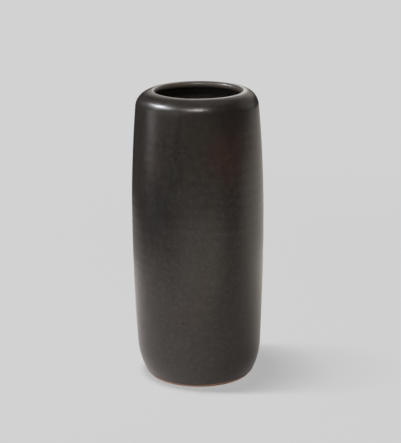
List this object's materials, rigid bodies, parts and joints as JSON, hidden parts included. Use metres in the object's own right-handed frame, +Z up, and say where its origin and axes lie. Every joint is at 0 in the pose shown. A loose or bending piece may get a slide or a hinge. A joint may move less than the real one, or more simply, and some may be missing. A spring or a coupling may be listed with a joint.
{
  "type": "stoneware vase",
  "caption": "Tall, slightly barrel-shaped stoneware vase with a turned-in rounded shoulder, a round mouth, dark satin glaze inside and out, and a bare clay foot ring.",
  "frame": {"origin": "on the table surface, at the middle of the foot ring, which is the bottom centre of the vase's box", "axes": "+Z up along the wheel's axis, from the foot to the mouth; X and Y are equal, because the vase is a body of revolution"},
  "size_m": [0.1086, 0.1086, 0.24],
  "materials": {
    "fired_clay": "bare fired stoneware clay, warm brown, dry and slightly gritty",
    "dark_glaze": "satin brown-black iron glaze, thinner and warmer on the edge of the lip",
    "liner_glaze": "the same dark glaze, a little glossier where it was poured inside"
  },
  "bodies": {
    "root": {"clay_body": "fired_clay", "outer_glaze": "dark_glaze", "inner_glaze": "liner_glaze", "base_glaze": "dark_glaze"}
  },
  "joints": []
}
